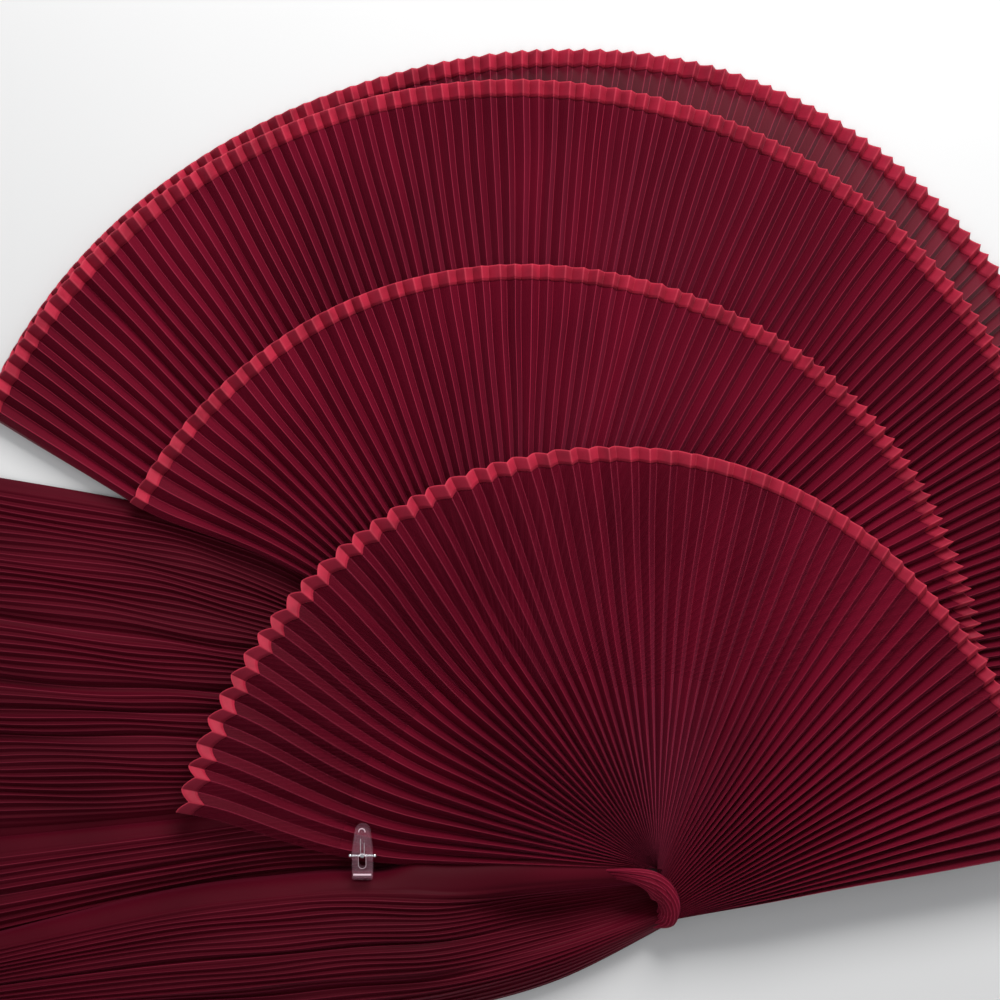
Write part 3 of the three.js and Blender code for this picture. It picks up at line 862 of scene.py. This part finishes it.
def crushed_pleats(gather):
    """The gather's body: crushed pleats that stand round its middle, nipped at the thread."""
    middle, run, top = gather_frame(gather)
    sides = gather.pleats * 6
    level = np.concatenate([np.linspace(0.02, 0.93, 30), [0.96, 0.985, 1.0]])[:, None]
    angle = np.linspace(0, 2 * math.pi, sides, endpoint=False)[None, :]
    crush = 0.5 + 0.5 * np.sin(gather.pleats * angle + 5.5 * level + 0.9 * np.sin(4 * level + 3 * angle))
    nip = WAIST * np.exp(-((level * gather.crown - 0.5) / 0.07) ** 2)
    dome = np.interp(level, (0, 0.93, 0.96, 0.985, 1.0), (1.0, 1.0, 0.92, 0.74, 0.35))
    radius = ((gather.radius - nip) * (1 - 0.13 * crush) + 0.12 * np.sin(3 * angle + 9 * level)) * dome * MM
    plan = on_plan(middle, run, gather.stretch, radius * np.cos(angle), radius * np.sin(angle))
    height = np.broadcast_to(level * top * gather.crown * (1 - 0.012 * crush), radius.shape)
    points = np.concatenate([plan, height[..., None]], -1)
    # Crease mark on the crushed pleats' ridges, painted lighter as denser threads and a painted highlight
    marks = {"crease": (1 - crush) ** 4, "pleat": np.full(radius.shape, 0.3)}
    piece = make_object(f"{gather.name}_pleats", points.reshape(-1, 3), ring_faces(*radius.shape),
                        material("tail"), marks)
    settle(piece, "root", gather.name)


def wound_thread(gather):
    """The turns of thread in the gather's waist."""
    middle, run, top = gather_frame(gather)
    angle = np.linspace(0, 2 * math.pi * THREAD_TURNS, 60 * THREAD_TURNS)
    radius = (gather.radius - 0.35) * MM
    plan = on_plan(middle, run, gather.stretch, radius * np.cos(angle), radius * np.sin(angle))
    height = top / 2 + (angle / (2 * math.pi) - THREAD_TURNS / 2) * THREAD_PITCH * MM
    path = np.concatenate([plan, height[:, None]], -1)
    points, faces = tube(path, THREAD_RADIUS * MM, 8)
    piece = make_object(f"{gather.name}_winding", points, faces, material("thread"))
    settle(piece, "root", f"{gather.name}_thread")


# Middle line of the rolled collar where the front leaf's pleats turn over into the front tail, in millimetres
# from the back gather, with its height.
COLLAR = ((36, -71.5, 21), (54, -71, 27.5), (68, -73, 30.5), (76, -78, 29.5), (81, -86, 27.5),
          (82, -94, 24.5), (79, -100.5, 20.5), (71, -104, 15))
COLLAR_STRANDS = ((0.0, 3.0), (3.4, 3.2), (6.8, 3.2), (9.8, 2.8))  # distance inwards and radius
COLLAR_MIDDLE = (70.0, -86.0)  # the point that the strands lie inwards to
STRAND_SIDES = 42
STRAND_TIP = 0.35  # radius of a strand's ends


def collar_strand(number, shift, radius, seed):
    """One of the twisted bundles of pleats that make the collar."""
    rng = np.random.default_rng(seed)
    share = np.linspace(0, 1, 90)
    path = along_curve(COLLAR, share)
    inward = np.array(COLLAR_MIDDLE) - path[:, :2]
    inward /= np.linalg.norm(inward, axis=1, keepdims=True)
    path[:, :2] += inward * (shift * (1 - 0.35 * share))[:, None]
    path[:, 2] -= 0.06 * shift ** 2 * smooth(share, 0.1, 0.4)
    ends = smooth(share, 0.0, 0.34) * (1 - smooth(share, 0.82, 1.0))
    angle = np.linspace(0, 2 * math.pi, STRAND_SIDES, endpoint=False)[None, :]
    twist = 3.2 * share[:, None] + rng.uniform(0, 6)
    grooves = 0.5 + 0.5 * np.cos(9 * (angle + twist))
    radii = (STRAND_TIP + ends[:, None] * (radius - STRAND_TIP)) * (1 - 0.17 * grooves ** 2)
    points, faces = tube(path, radii, STRAND_SIDES)
    points = points * MM + np.array((*BACK_PIVOT, 0.0))
    # Crease mark on the strand's ridges, painted lighter as denser threads and a painted highlight
    crease = (1 - grooves) ** 3
    piece = make_object(f"collar_strand_{number}", points, faces, material("organza_98"),
                        {"crease": crease, "pleat": np.full(crease.shape, 0.3)})
    settle(piece, "root")


class FAN_OT_gathers(bpy.types.Operator):
    """Make the two gathers, their thread and the rolled collar over the front one"""
    bl_idname = "fan.gathers"
    bl_label = "Gathers and collar"

    def execute(self, context):
        for gather in GATHERS:
            crushed_pleats(gather)
            wound_thread(gather)
        for number, (shift, radius) in enumerate(COLLAR_STRANDS, start=1):
            collar_strand(number, shift, radius, seed=70 + number)
        return {"FINISHED"}


# ---------------------------------------------------------------- clip

PIN = np.array(JOINTS["clip_open"]["pos_m"])
CLIP_BOX = [np.array(corner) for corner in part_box("clip_lower_lever")]
CLIP_WIDTH = CLIP_BOX[1][0] - CLIP_BOX[0][0]
JAW_Y = CLIP_BOX[0][1] - PIN[1]  # jaw end, from the pin
HANDLE_Y = CLIP_BOX[1][1] - PIN[1]  # handle end
PLATE = 0.0015  # thickness of a lever
BEVEL = 0.0003  # softened edge of a lever
JAW_CORNER = 0.0008  # rounding of the jaw's corners
SHOULDER = 0.003  # from the pin to where a lever starts to narrow
HANDLE_WIDTH = 0.0086
SLOT = (0.0042, 0.0084)  # width and length of the slot over the spring
SLOT_SHIFT = -0.0018  # from the pin to the middle of the slot
UPPER_TILT = math.radians(12)
UPPER_LIFT = 0.0026  # from the pin up to the underside of the upper lever
LOWER_LIFT = CLIP_BOX[0][2] - PIN[2]  # from the pin down to the underside of the lower lever
LOWER_TOP = LOWER_LIFT + PLATE
BITE = 0.0014  # gap between the jaws, filled by the cloth
EAR_THICKNESS = 0.0012
EAR_HALF_DEPTH = 0.0022
EAR_PAST_PIN = 0.0017
EAR_SHIFT = 0.0015  # how far inside the lower lever's ears the upper lever's lie
TOOTH_INSET = 0.001  # from a lever's side to the teeth
TOOTH_DEPTH = 0.00035
GRIP_RIBS = 5
RIB_PITCH = 0.0013
PIN_RADIUS = 0.00072
COIL_RADIUS = 0.0014
COIL_TURNS = 3.5
COIL_HALF_LENGTH = 0.0011


def rounded_plate(outline, hole, thickness, bevel):
    """Mesh points and faces of a flat plate with softened edges, from closed plan outlines."""
    curve = bpy.data.curves.new("plate", "CURVE")
    curve.dimensions = "2D"
    curve.fill_mode = "BOTH"
    curve.extrude = thickness / 2 - bevel
    curve.bevel_depth = bevel
    curve.bevel_resolution = 3
    curve.offset = -bevel
    for loop in (outline, hole):
        spline = curve.splines.new("POLY")
        spline.points.add(len(loop) - 1)
        for point, (x, y) in zip(spline.points, loop):
            point.co = (x, y, 0, 1)
        spline.use_cyclic_u = True
    holder = bpy.data.objects.new("plate", curve)
    bpy.context.scene.collection.objects.link(holder)
    bpy.context.view_layer.update()
    shape = bpy.data.meshes.new_from_object(holder.evaluated_get(bpy.context.evaluated_depsgraph_get()))
    points = np.array([v.co for v in shape.vertices])
    faces = [tuple(p.vertices) for p in shape.polygons]
    bpy.data.objects.remove(holder)
    bpy.data.curves.remove(curve)
    bpy.data.meshes.remove(shape)
    return points, faces


def arc(centre, radius, start, end, steps):
    """Plan points of an arc between two directions in degrees."""
    angle = np.radians(np.linspace(start, end, steps))
    return [(centre[0] + radius * math.cos(a), centre[1] + radius * math.sin(a)) for a in angle]


def lever_outline():
    """Outline of a lever from the jaw end to the rounded handle, about the pin, and the slot in it."""
    half, handle = CLIP_WIDTH / 2, HANDLE_WIDTH / 2
    outline = arc((-half + JAW_CORNER, JAW_Y + JAW_CORNER), JAW_CORNER, 180, 270, 5)
    outline += arc((half - JAW_CORNER, JAW_Y + JAW_CORNER), JAW_CORNER, 270, 360, 5)
    outline += [(half, SHOULDER)]
    outline += arc((0, HANDLE_Y - handle), handle, 0, 180, 24)
    outline += [(-half, SHOULDER)]
    reach = SLOT[1] / 2 - SLOT[0] / 2
    hole = arc((0, SLOT_SHIFT + reach), SLOT[0] / 2, 0, 180, 12)
    hole += arc((0, SLOT_SHIFT - reach), SLOT[0] / 2, 180, 360, 12)
    return outline, hole


def soft_box(low, high, bevel):
    """Points and faces of a box with softened edges."""
    size = np.subtract(high, low)
    middle = np.add(high, low) / 2
    x, y = size[0] / 2, size[1] / 2
    outline = [(-x, -y), (x, -y), (x, y), (-x, y)]
    layers = ((-1, bevel), (-1, 0.0), (1, 0.0), (1, bevel))
    points = []
    for level, (side, inset) in enumerate(layers):
        height = side * (size[2] / 2 - (bevel if level in (1, 2) else 0.0))
        for px, py in outline:
            points.append((px - math.copysign(inset, px), py - math.copysign(inset, py), height))
    faces = [(3, 2, 1, 0), (12, 13, 14, 15)]
    for level in range(3):
        for k in range(4):
            a, b = level * 4 + k, level * 4 + (k + 1) % 4
            faces.append((a, b, b + 4, a + 4))
    return np.array(points) + middle, faces


def joined(parts):
    """Points and faces of several shapes as one."""
    points, faces, start = [], [], 0
    for part_points, part_faces in parts:
        points.append(part_points)
        faces += [tuple(start + i for i in face) for face in part_faces]
        start += len(part_points)
    return np.concatenate(points), faces


def teeth(level, pitch, direction):
    """The row of ridges across a jaw at a height from the pin, pointing up (1) or down (-1)."""
    half = CLIP_WIDTH / 2 - TOOTH_INSET
    faces = [(0, 1, 2, 3), (0, 4, 5, 1), (3, 2, 5, 4), (0, 3, 4), (1, 5, 2)]
    faces = faces if direction > 0 else [face[::-1] for face in faces]
    tip = level + direction * TOOTH_DEPTH
    parts = []
    for y in np.arange(JAW_Y + 0.0004 + pitch / 2, JAW_Y + 0.004, pitch):
        near, far = y - pitch / 2, y + pitch / 2
        ridge = np.array([(-half, near, level), (half, near, level), (half, far, level),
                          (-half, far, level), (-half, y, tip), (half, y, tip)])
        parts.append((ridge, faces))
    return parts


def ears(x, low, high):
    """The two ears round the pin, with their outer faces at x on either side."""
    parts = []
    for side in (-1, 1):
        outer, inner = side * x, side * x - math.copysign(EAR_THICKNESS, side)
        corners = (min(outer, inner), -EAR_HALF_DEPTH, low), (max(outer, inner), EAR_HALF_DEPTH, high)
        parts.append(soft_box(*corners, BEVEL))
    return parts


def tilted(points, angle):
    """Points turned about the pin's axis."""
    y, z = points[:, 1], points[:, 2]
    across, up = y * math.cos(angle) - z * math.sin(angle), y * math.sin(angle) + z * math.cos(angle)
    return np.stack([points[:, 0], across, up], -1)


def lever_plate(lift):
    """The slotted plate of a lever, with its underside at a height from the pin."""
    plate, faces = rounded_plate(*lever_outline(), PLATE, BEVEL)
    plate[:, 2] += lift + PLATE / 2
    return plate, faces


def lower_lever(clip):
    """The flat lever underneath, with its ears and jaw teeth."""
    parts = [lever_plate(LOWER_LIFT), *ears(CLIP_WIDTH / 2, LOWER_TOP - 0.0002, EAR_PAST_PIN)]
    parts += teeth(LOWER_TOP, clip.tooth_pitch * MM, 1)
    return joined(parts)


def upper_lever(clip):
    """The sprung lever: a tilted plate with a grip, ears and a toothed jaw block."""
    plate, faces = lever_plate(UPPER_LIFT)
    parts = [(tilted(plate, UPPER_TILT), faces)]
    top = UPPER_LIFT + PLATE
    for row in range(GRIP_RIBS):
        y = HANDLE_Y - 0.0052 - row * RIB_PITCH
        rib, rib_faces = soft_box((-0.0027, y, top - 0.0002), (0.0027, y + 0.0006, top + 0.0004), 0.00018)
        parts.append((tilted(rib, UPPER_TILT), rib_faces))
    jaw_bottom = LOWER_TOP + BITE
    half = CLIP_WIDTH / 2 - BEVEL
    parts.append(soft_box((-half, JAW_Y, jaw_bottom), (half, JAW_Y + 0.0042, jaw_bottom + 0.0034), 0.0004))
    parts += teeth(jaw_bottom, clip.tooth_pitch * MM, -1)
    parts += ears(CLIP_WIDTH / 2 - EAR_SHIFT, -EAR_PAST_PIN, UPPER_LIFT + 0.0005)
    return joined(parts)


def pin_with_balls():
    """The pin and its ball ends."""
    low, high = (np.array(corner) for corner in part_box("clip_pin"))
    half = (high[0] - low[0]) / 2
    ball = (high[2] - low[2]) / 2
    x = np.linspace(-half, -half + 2 * ball, 15)
    bulge = np.sqrt(np.maximum(ball ** 2 - (x + half - ball) ** 2, 0.0)) + 1e-6
    bulge = np.where(x > -half + ball, np.maximum(bulge, PIN_RADIUS), bulge)
    path_x = np.concatenate([x, -x[::-1]])
    radii = np.concatenate([bulge, bulge[::-1]])
    path = np.stack([path_x, 0 * path_x, 0 * path_x], -1)
    return tube(path, radii[:, None], 24)


def torsion_spring(wire):
    """A coil round the pin with one arm along each lever."""
    angle = np.linspace(-0.5 * math.pi, 2 * math.pi * COIL_TURNS - 0.5 * math.pi, 150)
    x = np.linspace(-COIL_HALF_LENGTH, COIL_HALF_LENGTH, len(angle))
    loops = np.stack([x, COIL_RADIUS * np.cos(angle), COIL_RADIUS * np.sin(angle)], -1)
    start = np.array([(x[0], 0.0088, -0.0021), (x[0], 0.005, -0.0018)])
    finish = np.array([(x[-1], 0.004, 0.0021), (x[-1], 0.0075, 0.0034)])
    return tube(np.concatenate([start, loops, finish]), wire / 2, 10)


def clip_piece(name, shape, body, finish, replaced=None):
    """Puts a shape made about the pin in its place on a body."""
    points, faces = shape
    piece = make_object(name, points + PIN, faces, material(finish))
    piece.data.set_sharp_from_angle(angle=math.radians(40))
    settle(piece, body, replaced)


def lever_highlight_beads():
    """Beads of the upper lever that carry a painted highlight of its edges: round its slot, an arc at the
    handle's end and a bar along its jaw.
    """
    _, hole = lever_outline()
    thumb = arc((0, HANDLE_Y - 0.0024), 0.0017, -10, 190, 16)
    half = CLIP_WIDTH / 2 - JAW_CORNER
    bar = [(x, JAW_Y + 0.0030) for x in np.linspace(-half, half, 8)]
    beads = (([*hole, hole[0], hole[1]], 0.00011), (thumb, 0.0003), (bar, 0.0006))
    parts = []
    for line, radius in beads:
        path = np.column_stack([np.array(line), np.full(len(line), UPPER_LIFT + PLATE)])
        parts.append(tube(path, radius, 8))
    points, faces = joined(parts)
    return tilted(points, UPPER_TILT), faces


def pinched_fold():
    """The fold of the front tail that the jaws hold, fanning out down to the tail."""
    share = np.linspace(0, 1, 28)[:, None]
    across = np.linspace(-1, 1, 41)[None, :]
    y = JAW_Y + 0.0036 - 0.0078 * share
    half = 0.0046 + 0.0010 * smooth(share, 0.3, 1.0)
    grip = LOWER_TOP + BITE / 2
    drop = 0.0155 * smooth(share, 0.28, 1.0)
    wave = np.sin(across * 11 + 0.6)
    ruffle = wave * (0.00018 + 0.0005 * smooth(share, 0.3, 0.8))
    sag = 0.0022 * across ** 2 * smooth(share, 0.3, 1.0)
    x = across * half + 0 * share
    points = np.stack([x, np.broadcast_to(y, x.shape), grip - drop + ruffle - sag], -1) + PIN
    # Crease mark on the ruffle crests, painted lighter as denser threads and a painted highlight
    still_sheet("pinched_fold", points, np.clip(wave, 0, 1) ** 4 * 0.7)


class FAN_OT_clip(bpy.types.Operator):
    """Make the spring clip: two clear levers, the pin, the spring and the fold of cloth it holds"""
    bl_idname = "fan.clip"
    bl_label = "Spring clip"

    def execute(self, context):
        clip = context.scene.fan_clip
        base, arm = lower_lever(clip), upper_lever(clip)
        clip_piece("clip_base", base, "root", "plastic", "clip_lower_lever")
        clip_piece("clip_arm", arm, "clip_lever", "plastic", "clip_upper_lever")
        # Beads in a finish that paints the highlights of the lever's moulded edges
        clip_piece("clip_arm_edge", lever_highlight_beads(), "clip_lever", "edge")
        clip_piece("clip_axle", pin_with_balls(), "root", "metal", "clip_pin")
        coil = torsion_spring(clip.wire * MM)
        clip_piece("clip_coil", coil, "root", "metal", "clip_spring")
        pinched_fold()
        return {"FINISHED"}


# ---------------------------------------------------------------- stage

FLOOR_RADIUS = 4.0
FLOOR_GAP = 0.0002  # the floor lies this far under the cloth
VIEW_CENTRE = (-13.75, 132.0)  # what the camera and the lights look at, in millimetres from the back gather


class FAN_OT_stage(bpy.types.Operator):
    """Make the floor, the lights and the camera"""
    bl_idname = "fan.stage"
    bl_label = "Stage"

    def execute(self, context):
        scene = context.scene
        stage = scene.fan_stage
        rim = arc((0, 0), FLOOR_RADIUS, 0, 360, 65)[:-1]
        points = [(x, y, -FLOOR_GAP) for x, y in rim]
        floor = make_object("floor", points, [tuple(range(64))], material("floor"), flat=True)
        centre = BACK_PIVOT + np.array(VIEW_CENTRE) * MM
        add_area_light("key", centre, azimuth=75, elevation=42, distance=1.5, size=0.7,
                       watts=stage.key_watts)
        add_area_light("fill", centre, azimuth=250, elevation=70, distance=1.8, size=1.8,
                       watts=stage.fill_watts)
        world = bpy.data.worlds.new("studio")
        world.use_nodes = True
        sky = world.node_tree.nodes["Background"].inputs
        sky["Color"].default_value = (0.80, 0.82, 0.85, 1)
        sky["Strength"].default_value = 0.58
        scene.world = world
        camera = bpy.data.cameras.new("camera")
        camera.lens = camera.sensor_width * stage.camera_height / stage.view_width
        camera.clip_end = 20.0
        view = bpy.data.objects.new("camera", camera)
        scene.collection.objects.link(view)
        view.location = (*map(float, centre), stage.camera_height + 0.02)
        scene.camera = view
        scene.view_settings.view_transform = "Standard"
        scene.cycles.transparent_max_bounces = 40
        return {"FINISHED"}


def add_area_light(name, aim, azimuth, elevation, distance, size, watts):
    """A square soft light that looks at a point of the floor; azimuth is anticlockwise from +X."""
    data = bpy.data.lights.new(name, "AREA")
    data.size = size
    data.energy = watts
    light = bpy.data.objects.new(name, data)
    a, e = math.radians(azimuth), math.radians(elevation)
    away = Vector((math.cos(a) * math.cos(e), math.sin(a) * math.cos(e), math.sin(e)))
    light.location = Vector((*map(float, aim), 0)) + away * distance
    light.rotation_euler = away.to_track_quat("Z", "Y").to_euler()
    bpy.context.scene.collection.objects.link(light)


# ---------------------------------------------------------------- panel and registration

class FAN_PT_panel(bpy.types.Panel):
    """Steps that build the fan"""
    bl_label = "Pleated fan"
    bl_idname = "FAN_PT_panel"
    bl_space_type = "VIEW_3D"
    bl_region_type = "UI"
    bl_category = "Fan"

    def draw(self, context):
        for step in STEPS:
            self.layout.operator(step.bl_idname)


SETTINGS = {
    "fan_cloth": ClothSettings,
    "fan_tails": TailSettings,
    "fan_clip": ClipSettings,
    "fan_stage": StageSettings,
}
STEPS = (FAN_OT_stage, FAN_OT_leaves, FAN_OT_tails, FAN_OT_gathers, FAN_OT_clip)
CLASSES = (*SETTINGS.values(), *STEPS, FAN_PT_panel)


def register():
    """Registers the classes and hangs the settings on the scene."""
    for cls in CLASSES:
        bpy.utils.register_class(cls)
    for name, cls in SETTINGS.items():
        setattr(bpy.types.Scene, name, PointerProperty(type=cls))


def unregister():
    """Takes the settings and the classes away again."""
    for name in SETTINGS:
        delattr(bpy.types.Scene, name)
    for cls in reversed(CLASSES):
        bpy.utils.unregister_class(cls)


def main():
    """Builds every piece in order."""
    register()
    for step in STEPS:
        group, action = step.bl_idname.split(".")
        getattr(getattr(bpy.ops, group), action)()


if __name__ == "__main__":
    main()
